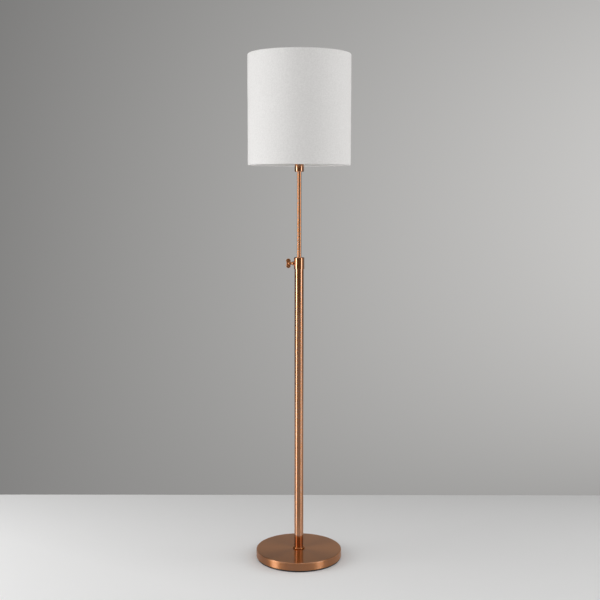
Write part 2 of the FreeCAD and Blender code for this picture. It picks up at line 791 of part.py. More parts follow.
# ---- Bulb ------------------------------------------------------------------------
def bulb():
    tip_foot = core_top + contact_rise
    cap_foot = tip_foot + bulb_tip_height
    cap_top = tip_foot + bulb_cap_height
    neck_top = cap_top + bulb_neck_height
    slope = bulb_cap_radius * 0.35
    step = bulb_cap_step
    cap = turned((0, tip_foot), (bulb_tip_radius - step, tip_foot), (bulb_tip_radius, cap_foot),
                 (bulb_cap_radius - slope, cap_foot + step),
                 (bulb_cap_radius, cap_foot + slope + step),
                 (bulb_cap_radius, cap_top), (0, cap_top))
    swell = (bulb_neck_radius + (bulb_seam_radius - bulb_neck_radius) * 0.38,
             cap_top + bulb_neck_height * 0.55)
    wall = bulb_wall
    lip = cap_top + bulb_neck_height * 0.15
    housing = turned((0, cap_top), (bulb_neck_radius, cap_top), (bulb_neck_radius, lip),
                     (swell, (bulb_seam_radius, neck_top)), (bulb_seam_radius - wall, neck_top),
                     ((swell[0] - wall, swell[1]), (bulb_neck_radius - wall, lip)),
                     (bulb_neck_radius - wall, cap_top + wall), (0, cap_top + wall))
    drop = math.sqrt(bulb_globe_radius ** 2 - bulb_seam_radius ** 2)
    centre = neck_top + drop
    inner_drop = math.sqrt((bulb_globe_radius - wall) ** 2 - (bulb_seam_radius - wall) ** 2)
    inner_centre = neck_top + inner_drop
    globe = turned((bulb_seam_radius - wall, neck_top), (bulb_seam_radius, neck_top),
                   ((bulb_globe_radius, centre), (0, centre + bulb_globe_radius)),
                   (0, inner_centre + bulb_globe_radius - wall),
                   ((bulb_globe_radius - wall, inner_centre), (bulb_seam_radius - wall, neck_top)))
    return {"bulb_cap": cap, "bulb_housing": housing, "bulb_globe": globe}


# ---- Harp and its sleeves --------------------------------------------------------
def harp_side(side):
    """One leg of the harp, from its post to the eye at the top."""
    crown = harp_top - harp_eye_thickness / 2
    straight = harp_foot + harp_leg_length
    points = [V(side * harp_leg_spread, 0, harp_foot),
              V(side * harp_leg_spread, 0, straight),
              V(side * harp_belly_spread, 0, straight + harp_slope_rise),
              V(side * harp_belly_spread, 0, crown),
              V(side * (harp_eye_radius - harp_wire_radius), 0, crown)]
    bends = [harp_slope_round, harp_slope_round, harp_top_round]
    return bent_wire(points, bends, harp_wire_radius)


def harp():
    """Bent wire frame with a flattened, drilled eye that carries the shade's stud."""
    low = harp_top - harp_eye_thickness
    eye = disc(harp_eye_radius, low, harp_top)
    frame = eye.fuse(harp_side(-1)).fuse(harp_side(1))
    frame = frame.cut(disc(stud_radius + running_gap, low - overcut, harp_top + overcut))
    pieces = {"harp_wire": frame.removeSplitter()}
    ledge = harp_foot - post_height
    for name, side in (("harp_sleeve_left", -1), ("harp_sleeve_right", 1)):
        sleeve = ring(harp_wire_radius + running_gap, sleeve_radius, ledge + running_gap,
                      ledge + running_gap + sleeve_length)
        sleeve.translate(V(side * harp_leg_spread, 0, 0))
        pieces[name] = sleeve
    return pieces


# ---- Shade -----------------------------------------------------------------------
def shade_sizes():
    """Radii of the shade's layers and of the fold that wraps each ring wire."""
    fabric_inner = shade_radius - shade_fabric
    liner_inner = fabric_inner - glue_gap - shade_liner
    wire_centre = liner_inner - glue_gap - shade_wire_radius
    fold_inner = (fabric_inner - wire_centre + shade_wire_radius + fold_gap) / 2
    fold_centre = fabric_inner - fold_inner
    return fabric_inner, fold_inner, fold_centre, wire_centre


def shade_trim(rim, end):
    """Edge of the linen folded over its ring: end is 1 at the top and -1 at the bottom."""
    fabric_inner, fold_inner, fold_centre, _ = shade_sizes()
    fold_outer = fold_inner + shade_fabric
    centre = rim - end * fold_outer

    def at(radius, degrees):
        turn = math.radians(degrees)
        return fold_centre + radius * math.cos(turn), centre + end * radius * math.sin(turn)

    last = 180 + trim_turn_in
    return turned((shade_radius, centre - end * trim_leg), (shade_radius, centre),
                  (at(fold_outer, last / 2), at(fold_outer, last)), at(fold_inner, last),
                  (at(fold_inner, last / 2), (fabric_inner, centre)),
                  (fabric_inner, centre - end * trim_leg))


def shade_ring(rim, end):
    """Steel ring wire inside one edge of the shade."""
    _, fold_inner, _, wire_centre = shade_sizes()
    height = rim - end * (fold_inner + shade_fabric)
    return Part.makeTorus(wire_centre, shade_wire_radius, V(0, 0, height))


def spider_arms(hub, top_ring):
    """Three wires, bent up at the wall, welded between the hub and the top ring."""
    _, fold_inner, _, wire_centre = shade_sizes()
    run = hub_foot + spider_hub_thickness / 2
    end = shade_top - fold_inner - shade_fabric
    arms = []
    for n in range(spider_arm_count):
        points = [V(spider_hub_radius - overcut, 0, run), V(wire_centre, 0, run),
                  V(wire_centre, 0, end)]
        arm = bent_wire(points, [spider_arm_bend], spider_arm_radius)
        arm.rotate(V(0, 0, 0), UP, 90 + n * 360.0 / spider_arm_count)
        arms.append(arm.cut(hub).cut(top_ring))
    return Part.makeCompound([arm.Solids[0] for arm in arms])


def harp_stud():
    """Riveted swivel stud: it turns in the harp's eye and carries the hub."""
    low = harp_top - harp_eye_thickness - loose_gap
    seat = harp_top + stud_flange_gap
    tip = hub_foot + spider_hub_thickness + stud_length
    return turned((0, low - stud_head_thickness),
                  (stud_head_radius - stud_head_chamfer, low - stud_head_thickness),
                  (stud_head_radius, low - stud_head_thickness + stud_head_chamfer),
                  (stud_head_radius, low), (stud_radius, low),
                  (stud_radius, seat), (stud_flange_radius, seat), (stud_flange_radius, hub_foot),
                  (stud_radius, hub_foot), (stud_radius, tip - stud_chamfer),
                  (stud_radius - stud_chamfer, tip), (0, tip))


def finial():
    """Turned knob that screws down on the stud and holds the shade."""
    foot = hub_foot + spider_hub_thickness
    top = foot + finial_height
    centre = top - finial_ball_radius
    waist = (finial_ball_radius * 0.6, centre - finial_ball_radius * 0.8)
    bore = stud_radius + thread_gap
    depth = foot + stud_length + loose_gap
    return turned((bore, foot), (finial_foot_radius, foot),
                  (finial_foot_radius, foot + finial_foot_height), waist,
                  ((finial_ball_radius, centre), (0, top)), (0, depth), (bore, depth))


def shade():
    fabric_inner, fold_inner, _, _ = shade_sizes()
    edge = fold_inner + shade_fabric
    liner_outer = fabric_inner - glue_gap
    join = edge + trim_leg
    hub = ring(stud_radius + glue_gap, spider_hub_radius, hub_foot,
               hub_foot + spider_hub_thickness)
    top_ring = shade_ring(shade_top, 1)
    return {
        "harp_stud": harp_stud(),
        "spider_hub": hub,
        "spider_arms": spider_arms(hub, top_ring),
        "shade_top_ring": top_ring,
        "shade_bottom_ring": shade_ring(shade_foot, -1),
        "shade_liner": ring(liner_outer - shade_liner, liner_outer, shade_foot + edge,
                            shade_top - edge),
        "shade_cover": ring(fabric_inner, shade_radius, shade_foot + join, shade_top - join),
        "shade_top_trim": shade_trim(shade_top, 1),
        "shade_bottom_trim": shade_trim(shade_foot, -1),
        "finial": finial(),
    }


# ---- Write every piece -----------------------------------------------------------
pieces = {}
for build in (base, column, clamp, mast, lamp_holder, switch_key, bulb, harp, shade):
    pieces.update(build())

os.makedirs("parts", exist_ok=True)
for name, shape in pieces.items():
    shape.exportStep("parts/" + name + ".step")
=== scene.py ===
import bpy
import math
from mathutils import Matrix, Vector, noise


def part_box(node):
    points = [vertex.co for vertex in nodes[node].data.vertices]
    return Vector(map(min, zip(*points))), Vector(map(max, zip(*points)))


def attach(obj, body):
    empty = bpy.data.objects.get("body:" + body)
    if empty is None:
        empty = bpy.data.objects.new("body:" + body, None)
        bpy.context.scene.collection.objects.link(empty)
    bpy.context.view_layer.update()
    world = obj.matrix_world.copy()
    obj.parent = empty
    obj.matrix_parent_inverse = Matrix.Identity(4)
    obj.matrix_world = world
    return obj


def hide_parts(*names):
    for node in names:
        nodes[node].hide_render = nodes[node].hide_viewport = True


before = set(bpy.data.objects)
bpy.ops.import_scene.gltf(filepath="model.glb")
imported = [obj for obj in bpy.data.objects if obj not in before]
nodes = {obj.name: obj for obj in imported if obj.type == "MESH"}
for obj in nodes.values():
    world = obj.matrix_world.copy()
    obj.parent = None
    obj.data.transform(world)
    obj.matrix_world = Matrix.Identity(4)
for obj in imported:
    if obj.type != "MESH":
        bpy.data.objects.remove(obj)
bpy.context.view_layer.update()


# ---- Base pad --------------------------------------------------------------------
# A ring of black cellular rubber, die cut from sheet and glued under the iron weight.
# The lamp's weight presses it flat, so its cut edges belly out a little.
pad_low, pad_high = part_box("base_pad")
pad_radius = pad_high.x
pad_hole = 0.032
pad_belly = 0.00035
pad_corner = 0.0004
pad_colour = (0.022, 0.022, 0.023)
pad_dark = (0.014, 0.014, 0.015)
pad_light = (0.034, 0.033, 0.033)
pad_cells = 1400.0                      # cells a metre


def surface(name, points, faces, finish, crease=35.0):
    """Mesh object from points and faces, smooth except where it turns sharply."""
    mesh = bpy.data.meshes.new(name)
    mesh.from_pydata([tuple(p) for p in points], [], faces)
    mesh.validate()
    mesh.polygons.foreach_set("use_smooth", [True] * len(mesh.polygons))
    mesh.set_sharp_from_angle(angle=math.radians(crease))
    piece = bpy.data.objects.new(name, mesh)
    bpy.context.scene.collection.objects.link(piece)
    piece.data.materials.append(finish)
    return piece


def lathe(name, profile, finish, steps=160):
    """Closed solid of revolution about Z from a closed outline of (radius, height)."""
    count = len(profile)
    points = [(r * math.cos(turn), r * math.sin(turn), z)
              for turn in (2 * math.pi * n / steps for n in range(steps))
              for r, z in profile]
    faces = [(a * count + p, b * count + p, b * count + q, a * count + q)
             for a, b in ((n, (n + 1) % steps) for n in range(steps))
             for p, q in ((n, (n + 1) % count) for n in range(count))]
    return surface(name, points, faces, finish)


def new_finish(name, colour, metal=0.0, rough=0.5):
    """A finish with one shader: returns the material, its node tree and the shader."""
    finish = bpy.data.materials.new(name)
    finish.use_nodes = True
    shader = finish.node_tree.nodes["Principled BSDF"]
    shader.inputs["Base Color"].default_value = (*colour, 1.0)
    shader.inputs["Metallic"].default_value = metal
    shader.inputs["Roughness"].default_value = rough
    return finish, finish.node_tree, shader


def add(tree, kind, inputs=(), **settings):
    """New node: settings are its own, inputs are values or other nodes' outputs."""
    made = tree.nodes.new("ShaderNode" + kind)
    for name, value in settings.items():
        setattr(made, name, value)
    for socket, value in dict(inputs).items():
        if isinstance(value, bpy.types.NodeSocket):
            tree.links.new(value, made.inputs[socket])
        else:
            made.inputs[socket].default_value = value
    return made


def place(tree):
    """Position on the piece in metres, in the lamp's own frame."""
    return add(tree, "TexCoord").outputs["Object"]


def grain(tree, vector, scale, detail=2.0, rough=0.5):
    """Output of a noise texture, 0 to 1."""
    return add(tree, "TexNoise", {"Vector": vector, "Scale": scale, "Detail": detail,
                                  "Roughness": rough}).outputs["Fac"]


def fit(tree, amount, start, end, low, high, **settings):
    """Goes from low to high while the amount goes from start to end, and no further."""
    return add(tree, "MapRange", {0: amount, 1: start, 2: end, 3: low, 4: high},
               **settings).outputs[0]


def vary(tree, shader, socket, amount, low, high):
    """Drives one of the shader's sockets from low to high by an amount from 0 to 1."""
    tree.links.new(fit(tree, amount, 0.0, 1.0, low, high), shader.inputs[socket])


def tint(tree, shader, amount, dark, light):
    """Drives the shader's colour between two colours by an amount from 0 to 1."""
    mix = add(tree, "Mix", {0: amount, 6: (*dark, 1.0), 7: (*light, 1.0)}, data_type="RGBA")
    tree.links.new(mix.outputs[2], shader.inputs["Base Color"])


def emboss(tree, shader, height, depth, strength=1.0):
    """Bump on the shader from a height of 0 to 1, depth in metres."""
    bump = add(tree, "Bump", {"Height": height, "Distance": depth, "Strength": strength})
    tree.links.new(bump.outputs["Normal"], shader.inputs["Normal"])


def cell_rubber():
    finish, tree, shader = new_finish("cell_rubber", pad_colour, rough=0.85)
    cells = add(tree, "TexVoronoi", {"Vector": place(tree), "Scale": pad_cells})
    skin = grain(tree, place(tree), 160.0, detail=4.0)
    tint(tree, shader, skin, pad_dark, pad_light)
    vary(tree, shader, "Roughness", skin, 0.78, 0.95)
    emboss(tree, shader, cells.outputs["Distance"], 0.0004, 0.5)
    return finish


pad_half = (pad_high.z - pad_low.z) / 2
pad_edge = [(pad_radius - pad_belly - pad_corner, pad_low.z),
            (pad_radius - pad_belly, pad_low.z + pad_corner),
            (pad_radius - pad_belly * 0.25, pad_low.z + pad_half * 0.6),
            (pad_radius, pad_low.z + pad_half),
            (pad_radius - pad_belly * 0.25, pad_high.z - pad_half * 0.6),
            (pad_radius - pad_belly, pad_high.z - pad_corner),
            (pad_radius - pad_belly - pad_corner, pad_high.z)]
pad_inner = [(pad_hole + pad_belly + pad_corner, pad_high.z),
             (pad_hole + pad_belly, pad_high.z - pad_corner),
             (pad_hole, pad_low.z + pad_half),
             (pad_hole + pad_belly, pad_low.z + pad_corner),
             (pad_hole + pad_belly + pad_corner, pad_low.z)]
base_pad = lathe("pad_ring", pad_edge + pad_inner, cell_rubber())
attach(base_pad, "stand")
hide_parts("base_pad")


# ---- Base weight -----------------------------------------------------------------
# A sand cast iron disc with six ribbed pockets, a recess for the nut and a groove for
# the lead underneath. It is left raw, so it shows the sand's pitted skin and rust haze.
iron_colour = (0.08, 0.08, 0.082)
iron_clean = (0.055, 0.055, 0.058)
iron_rusty = (0.13, 0.105, 0.088)


def dress(finish, *names):
    """Gives construction pieces their finish."""
    for name in names:
        slots = nodes[name].material_slots
        if not slots:
            nodes[name].data.materials.append(finish)
        for held in slots:
            held.material = finish


def sand_cast_iron():
    finish, tree, shader = new_finish("sand_cast_iron", iron_colour, 0.35, 0.7)
    sand = grain(tree, place(tree), 420.0, detail=6.0, rough=0.65)
    haze = grain(tree, place(tree), 22.0, detail=4.0)
    tint(tree, shader, haze, iron_clean, iron_rusty)
    vary(tree, shader, "Roughness", sand, 0.55, 0.85)
    emboss(tree, shader, sand, 0.0007, 0.8)
    return finish


dress(sand_cast_iron(), "base_weight")


# ---- Base cover ------------------------------------------------------------------
# A steel shell spun over the weight, with its lip turned in underneath. It is copper
# plated and brushed in circles on the lathe, so light fans out from its centre, and
# then lacquered; a patchy brighter copper is painted on the rim as a painted highlight.
copper_dark = (0.45, 0.165, 0.046)
copper_light = (0.60, 0.255, 0.088)
# copper for the wing's rubbed tone and for the painted highlight on the base's rim
copper_rubbed_and_highlight = (0.72, 0.36, 0.18)
copper_edge = (0.90, 0.72, 0.58)        # its colour where it is seen at a slant
lacquer_rough = 0.04
lacquer_ior = 2.1
across_marks = 0.25                     # of a turn: glints are drawn across the marks
cover_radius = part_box("base_cover")[1].x
cover_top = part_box("base_cover")[1].z
rim_width = 0.0045
wall_coarser = 1.45                     # the wall is brushed coarser than the top


def calc(tree, rule, first, second=0.0, third=0.0):
    """Output of a sum on one, two or three values."""
    return add(tree, "Math", {0: first, 1: second, 2: third}, operation=rule).outputs[0]


def from_axis(tree):
    """The position's flat part, its distance from the Z axis, and its height."""
    part = add(tree, "SeparateXYZ", {0: place(tree)}).outputs
    flat = add(tree, "CombineXYZ", {0: part[0], 1: part[1]}).outputs[0]
    radius = add(tree, "VectorMath", {0: flat}, operation="LENGTH").outputs["Value"]
    return flat, radius, part[2]


def turning_marks(tree, pitch, along):
    """Noise drawn out round the Z axis: pitch lines a metre, along their unevenness."""
    flat, radius, height = from_axis(tree)
    around = add(tree, "VectorMath", {0: flat}, operation="NORMALIZE").outputs[0]
    lines = calc(tree, "MULTIPLY", calc(tree, "ADD", radius, height), pitch)
    turn = add(tree, "VectorMath", {0: around, "Scale": along}, operation="SCALE").outputs[0]
    turned = add(tree, "SeparateXYZ", {0: turn}).outputs
    spot = add(tree, "CombineXYZ", {0: lines, 1: turned[0], 2: turned[1]}).outputs[0]
    return grain(tree, spot, 1.0, detail=3.0, rough=0.6)


def lacquer(shader, weight, rough=lacquer_rough):
    """Clear coat over the plating."""
    shader.inputs["Specular Tint"].default_value = (*copper_edge, 1)
    shader.inputs["Coat Weight"].default_value = weight
    shader.inputs["Coat Roughness"].default_value = rough


def copper(name, pitch, along, rough, depth, stretch, coat):
    """Lacquered copper plate with marks round Z; stretch is how far they draw a glint."""
    finish, tree, shader = new_finish(name, copper_light, 1.0, rough)
    lines = turning_marks(tree, pitch, along)
    cloud = grain(tree, place(tree), 9.0, detail=3.0)
    shade = calc(tree, "MULTIPLY", calc(tree, "ADD", lines, cloud), 0.5)
    tint(tree, shader, shade, copper_dark, copper_light)
    vary(tree, shader, "Roughness", lines, rough * 0.85, rough * 1.2)
    emboss(tree, shader, lines, depth, 0.6)
    shader.inputs["Anisotropic"].default_value = stretch
    shader.inputs["Anisotropic Rotation"].default_value = across_marks
    tangent = add(tree, "Tangent", direction_type="RADIAL", axis="Z")
    tree.links.new(tangent.outputs[0], shader.inputs["Tangent"])
    lacquer(shader, coat)
    shader.inputs["Coat IOR"].default_value = lacquer_ior
    return finish


def paint_rim_highlight(finish, radius, top):
    """Paints a patchy brighter copper on the rim as a painted highlight, and brushes the wall
    coarser.
    """
    tree = finish.node_tree
    shader = tree.nodes["Principled BSDF"]
    _, reach, height = from_axis(tree)
    edge = fit(tree, reach, radius - rim_width, radius, 0.0, 1.0)
    high = fit(tree, height, top - rim_width, top, 0.0, 1.0)
    patchy = fit(tree, grain(tree, place(tree), 45.0, detail=3.0), 0.35, 0.65, 0.3, 1.0)
    # painted highlight: a patchy brighter copper on the rim's top corner
    rim_highlight_mask = calc(tree, "MULTIPLY", calc(tree, "MULTIPLY", edge, high), patchy)
    plating = shader.inputs["Base Color"].links[0].from_socket
    mix = add(tree, "Mix", {0: rim_highlight_mask, 6: plating, 7: (*copper_rubbed_and_highlight, 1.0)}, data_type="RGBA")
    tree.links.new(mix.outputs[2], shader.inputs["Base Color"])
    brushing = shader.inputs["Roughness"].links[0].from_socket
    coarser = fit(tree, edge, 0.0, 1.0, 1.0, wall_coarser)
    tree.links.new(calc(tree, "MULTIPLY", brushing, coarser), shader.inputs["Roughness"])
    return finish


spun_copper = copper("copper_spun", pitch=1500.0, along=2.2, rough=0.30, depth=0.00010,
                     stretch=0.92, coat=0.5)
dress(paint_rim_highlight(spun_copper, cover_radius, cover_top), "base_cover")


# ---- Cord bush -------------------------------------------------------------------
# A moulded black nylon bush snapped into the back of the cover, where the mains lead
# comes out. The mould is spark eroded, which leaves a fine even grain.
black_nylon_colour = (0.025, 0.025, 0.026)


def moulded(name, colour, rough, pits=900.0, depth=0.0001):
    """Moulded plastic with a fine eroded grain and a faint flow of its colour."""
    finish, tree, shader = new_finish(name, colour, rough=rough)
    skin = grain(tree, place(tree), pits, detail=3.0)
    flow = grain(tree, place(tree), 60.0)
    darker = tuple(c * 0.88 for c in colour)
    lighter = tuple(min(1, c * 1.1) for c in colour)
    tint(tree, shader, flow, darker, lighter)
    vary(tree, shader, "Roughness", skin, rough - 0.07, rough + 0.1)
    emboss(tree, shader, skin, depth, 0.5)
    return finish


dress(moulded("black_nylon", black_nylon_colour, 0.52), "cord_bush")


# ---- Hollow rods, nuts, washer and tapped plugs ----------------------------------
# Two lengths of 10 mm hollow rod with a rolled 1 mm thread hold the lamp together: one
# through the base and one on top of the mast. All of these are zinc plated steel.
rod_pitch = 0.001
rod_thread_depth = 0.00055
rod_bore = 0.0032
zinc_colour = (0.60, 0.61, 0.63)


def bright_zinc(name="bright_zinc", colour=zinc_colour):
    finish, tree, shader = new_finish(name, colour, 1.0, 0.34)
    spangle = add(tree, "TexVoronoi", {"Vector": place(tree), "Scale": 320.0})
    smear = grain(tree, place(tree), 70.0, detail=4.0)
    tint(tree, shader, smear, tuple(c * 0.78 for c in colour), colour)
    vary(tree, shader, "Roughness", spangle.outputs["Distance"], 0.26, 0.42)
    emboss(tree, shader, smear, 0.00015, 0.4)
    return finish


def hollow_rod(name, node, finish, around=40, along=5):
    """Threaded tube in a plain one's place, with so many points a turn and rows a pitch."""
    low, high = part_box(node)
    crest = high.x
    rows = round((high.z - low.z) / rod_pitch * along)
    points = []
    for row in range(rows + 1):
        z = low.z + (high.z - low.z) * row / rows
        for step in range(around):
            turn = step / around
            wave = abs(((z / rod_pitch - turn) % 1.0) * 2 - 1)
            ends = min(1.0, min(row, rows - row) / along)
            radius = crest - rod_thread_depth * (1 - wave * ends)
            points.append((radius * math.cos(2 * math.pi * turn),
                           radius * math.sin(2 * math.pi * turn), z))
    outer = len(points)
    for z in (low.z, high.z):
        points += [(rod_bore * math.cos(2 * math.pi * n / around),
                    rod_bore * math.sin(2 * math.pi * n / around), z) for n in range(around)]
    faces = []
    for row in range(rows):
        for n in range(around):
            m = (n + 1) % around
            faces.append((row * around + n, row * around + m,
                          (row + 1) * around + m, (row + 1) * around + n))
    last = rows * around
    for n in range(around):
        m = (n + 1) % around
        faces.append((n, outer + n, outer + m, m))
        faces.append((last + n, last + m, outer + around + m, outer + around + n))
        faces.append((outer + n, outer + around + n, outer + around + m, outer + m))
    return surface(name, points, faces, finish, 50.0)


zinc = bright_zinc()
for rod_name, rod_node, rod_body in (("base_rod", "base_nipple", "stand"),
                                     ("mast_rod", "mast_nipple", "mast")):
    rod = hollow_rod(rod_name, rod_node, zinc)
    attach(rod, rod_body)
    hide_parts(rod_node)
dress(zinc, "base_washer", "base_nut", "column_foot_plug", "tube_insert", "cup_nut")


# ---- Foot ring, collar, cup and its lid ------------------------------------------
# Steel turned from bar, copper plated and lacquered like the base. The lathe leaves
# fine rings round each piece; the foot ring has less lacquer.
turned_copper = copper("copper_turned", pitch=2600.0, along=1.4, rough=0.13, depth=0.000008,
                       stretch=0.4, coat=1.0)
ring_copper = copper("copper_ring", pitch=2600.0, along=1.4, rough=0.18, depth=0.000008,
                     stretch=0.4, coat=0.3)
dress(turned_copper, "collar", "socket_cup", "cup_lid")
dress(ring_copper, "foot_ring")


# ---- Column tube and mast --------------------------------------------------------
# Welded steel tube, polished on a centreless grinder that leaves faint marks round it,
# then copper plated and lacquered. The mast slides, so its polish is a little duller.
column_copper = copper("copper_column", pitch=2200.0, along=1.6, rough=0.13, depth=0.000003,
                       stretch=0.4, coat=1.0)
mast_copper = copper("copper_mast", pitch=1700.0, along=1.6, rough=0.15, depth=0.000004,
                     stretch=0.4, coat=0.9)
dress(column_copper, "column_tube")
dress(mast_copper, "inner_tube")


# ---- Collar bush, guide bush and clamp tip ---------------------------------------
# Natural nylon sliders: one pressed into the collar, one split and held on the mast by
# two blackened spring rings, and the soft tip on the end of the clamp screw.
nylon_colour = (0.78, 0.76, 0.69)
nylon_reach = (0.003, 0.0025, 0.002)    # how far light goes into it, in metres
spring_black = (0.11, 0.11, 0.12)


def glow_through(finish, weight, reach):
    """Lets some light into a pale plastic."""
    shader = finish.node_tree.nodes["Principled BSDF"]
    shader.inputs["Subsurface Weight"].default_value = weight
    shader.inputs["Subsurface Radius"].default_value = reach
    return finish


natural_nylon = glow_through(moulded("natural_nylon", nylon_colour, 0.42), 0.15, nylon_reach)
dress(natural_nylon, "collar_bush", "guide_bush", "clamp_tip")
dress(bright_zinc("blackened_spring", spring_black), "retaining_rings")


# ---- Clamp screw -----------------------------------------------------------------
# A winged screw forged in one piece, barrel polished so that its edges are soft, then
# copper plated. Fingers keep the wing bright and leave it a little uneven.
def forged_copper():
    finish, tree, shader = new_finish("copper_forged", copper_light, 1.0, 0.40)
    hammer = grain(tree, place(tree), 260.0)
    pores = grain(tree, place(tree), 1500.0, detail=3.0)
    tint(tree, shader, hammer, copper_dark, copper_rubbed_and_highlight)
    vary(tree, shader, "Roughness", pores, 0.34, 0.48)
    emboss(tree, shader, hammer, 0.0006, 0.35)
    lacquer(shader, 0.4, rough=0.06)
    return finish


dress(forged_copper(), "thumb_screw")


# ---- Harp saddle, harp and sleeves -----------------------------------------------
# Nickel plated steel: a pressed strip with two posts, a sprung wire frame with a
# drilled eye, and two sleeves that drop over the joints to lock the frame.
nickel_colour = (0.64, 0.61, 0.56)
nickel_dark = (0.52, 0.49, 0.44)
nickel_light = (0.70, 0.67, 0.62)


def satin_nickel():
    finish, tree, shader = new_finish("satin_nickel", nickel_colour, 1.0, 0.27)
    draw = add(tree, "VectorMath", {0: place(tree), 1: (900.0, 900.0, 60.0)},
               operation="MULTIPLY").outputs[0]
    lines = grain(tree, draw, 1.0, detail=3.0)
    bloom = grain(tree, place(tree), 30.0, detail=3.0)
    tint(tree, shader, bloom, nickel_dark, nickel_light)
    vary(tree, shader, "Roughness", lines, 0.20, 0.36)
    emboss(tree, shader, lines, 0.00006, 0.5)
    return finish


dress(satin_nickel(), "harp_saddle", "harp_wire", "harp_sleeve_left", "harp_sleeve_right",
      "harp_stud")


# ---- Lamp holder -----------------------------------------------------------------
# A pressed brass cap and shell over a brown card liner and a moulded black core, which
# carries a rolled aluminium screw shell, a brass centre tongue and two zinc screws. Its
# switch has a zinc plated shaft and a black knob.
brass_colour = (0.70, 0.50, 0.24)
brass_dark = (0.56, 0.38, 0.17)
brass_light = (0.76, 0.57, 0.29)
card_colour = (0.42, 0.29, 0.17)
card_dark = (0.32, 0.21, 0.12)
card_light = (0.50, 0.36, 0.22)
aluminium_colour = (0.77, 0.77, 0.78)
aluminium_dark = (0.66, 0.66, 0.67)
aluminium_light = (0.82, 0.82, 0.83)
core_black = (0.03, 0.027, 0.024)


def pressed_brass():
    finish, tree, shader = new_finish("pressed_brass", brass_colour, 1.0, 0.28)
    marks = turning_marks(tree, 1800.0, 1.2)
    tarnish = grain(tree, place(tree), 45.0, detail=4.0)
    tint(tree, shader, tarnish, brass_dark, brass_light)
    vary(tree, shader, "Roughness", marks, 0.22, 0.36)
    emboss(tree, shader, marks, 0.00008, 0.5)
    return finish


def brown_card():
    finish, tree, shader = new_finish("brown_card", card_colour, rough=0.85)
    pulp = grain(tree, place(tree), 500.0, detail=5.0, rough=0.7)
    tint(tree, shader, pulp, card_dark, card_light)
    emboss(tree, shader, pulp, 0.0002, 0.6)
    return finish


def rolled_aluminium():
    finish, tree, shader = new_finish("rolled_aluminium", aluminium_colour, 1.0, 0.30)
    marks = turning_marks(tree, 1500.0, 1.5)
    tint(tree, shader, marks, aluminium_dark, aluminium_light)
    vary(tree, shader, "Roughness", marks, 0.22, 0.38)
    emboss(tree, shader, marks, 0.00008, 0.5)
    return finish


black_mould = moulded("black_mould", core_black, 0.36, pits=1400.0, depth=0.00005)
aluminium = rolled_aluminium()
dress(pressed_brass(), "socket_cap", "socket_shell", "centre_contact")
dress(brown_card(), "socket_liner")
dress(black_mould, "socket_core", "switch_knob")
dress(aluminium, "screw_shell")
dress(zinc, "switch_shaft", "terminal_screws")


# ---- Bulb ------------------------------------------------------------------------
# A screw-base bulb: a rolled aluminium cap on a white moulded housing, with an opal
# plastic globe snapped on it.
housing_white = (0.80, 0.80, 0.79)
globe_colour = (0.86, 0.855, 0.83)
globe_dark = (0.82, 0.81, 0.78)
globe_light = (0.89, 0.885, 0.865)
globe_reach = (0.006, 0.0055, 0.005)


def opal_globe():
    finish, tree, shader = new_finish("opal_globe", globe_colour, rough=0.38)
    haze = grain(tree, place(tree), 35.0)
    tint(tree, shader, haze, globe_dark, globe_light)
    vary(tree, shader, "Roughness", haze, 0.33, 0.43)
    emboss(tree, shader, haze, 0.00005, 0.3)
    return glow_through(finish, 0.3, globe_reach)


dress(aluminium, "bulb_cap")
dress(moulded("white_housing", housing_white, 0.30, pits=1200.0, depth=0.00004), "bulb_housing")
dress(opal_globe(), "bulb_globe")


# ---- Shade frame -----------------------------------------------------------------
# Two rings and three spider arms of steel wire, welded to a pressed hub and powder
# coated white. The coat has a fine orange peel.
powder_colour = (0.80, 0.80, 0.79)
powder_dark = (0.76, 0.76, 0.75)
powder_light = (0.83, 0.83, 0.82)


def powder_coat():
    finish, tree, shader = new_finish("white_powder_coat", powder_colour, rough=0.42)
    peel = grain(tree, place(tree), 700.0)
    cloud = grain(tree, place(tree), 40.0)
    tint(tree, shader, cloud, powder_dark, powder_light)
    vary(tree, shader, "Roughness", peel, 0.34, 0.5)
    emboss(tree, shader, peel, 0.00012, 0.5)
    return finish


dress(powder_coat(), "spider_hub", "spider_arms", "shade_top_ring", "shade_bottom_ring")


# ---- Shade liner -----------------------------------------------------------------
# A sheet of white styrene, rolled to a drum inside the rings. The linen is laminated to
# its outside, and its inside has the satin face of the film.
styrene_colour = (0.85, 0.85, 0.83)
styrene_dark = (0.83, 0.825, 0.805)
styrene_light = (0.87, 0.865, 0.85)


def styrene():
    finish, tree, shader = new_finish("white_styrene", styrene_colour, rough=0.45)
    satin = grain(tree, place(tree), 650.0)
    roll = grain(tree, place(tree), 12.0)
    tint(tree, shader, roll, styrene_dark, styrene_light)
    vary(tree, shader, "Roughness", satin, 0.38, 0.52)
    emboss(tree, shader, satin, 0.00005, 0.4)
    return finish


dress(styrene(), "shade_liner")


# ---- Linen cover -----------------------------------------------------------------
# One strip of off-white plain-weave linen, wrapped round the liner, folded over both
# ring wires and lapped at the back, where the upper layer is glued over the lower one.
linen_thick = 0.0007
lap_width = 0.012
lap_rise = 0.010                        # the upper layer climbs onto the lower one over this
lap_lift = linen_thick * 1.05           # how far it lies outside the lower one
fold_turn = 190.0                       # degrees that each edge is folded round its ring wire
fold_steps = 16
linen_wobble = 0.00012
linen_columns = 300
linen_rows = 30
linen_colour = (0.830, 0.820, 0.811)
linen_shadow = (0.655, 0.645, 0.634)
thread_pitch = 0.00085
weave_share, slub_share, fleck_share = 0.2, 0.45, 0.35
linen_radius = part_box("shade_cover")[1].x
rim_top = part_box("shade_top_trim")[1].z
rim_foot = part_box("shade_bottom_trim")[0].z
top_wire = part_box("shade_top_ring")
wire_height = (top_wire[0].z + top_wire[1].z) / 2
fold_radius = rim_top - wire_height
fold_centre = linen_radius - fold_radius


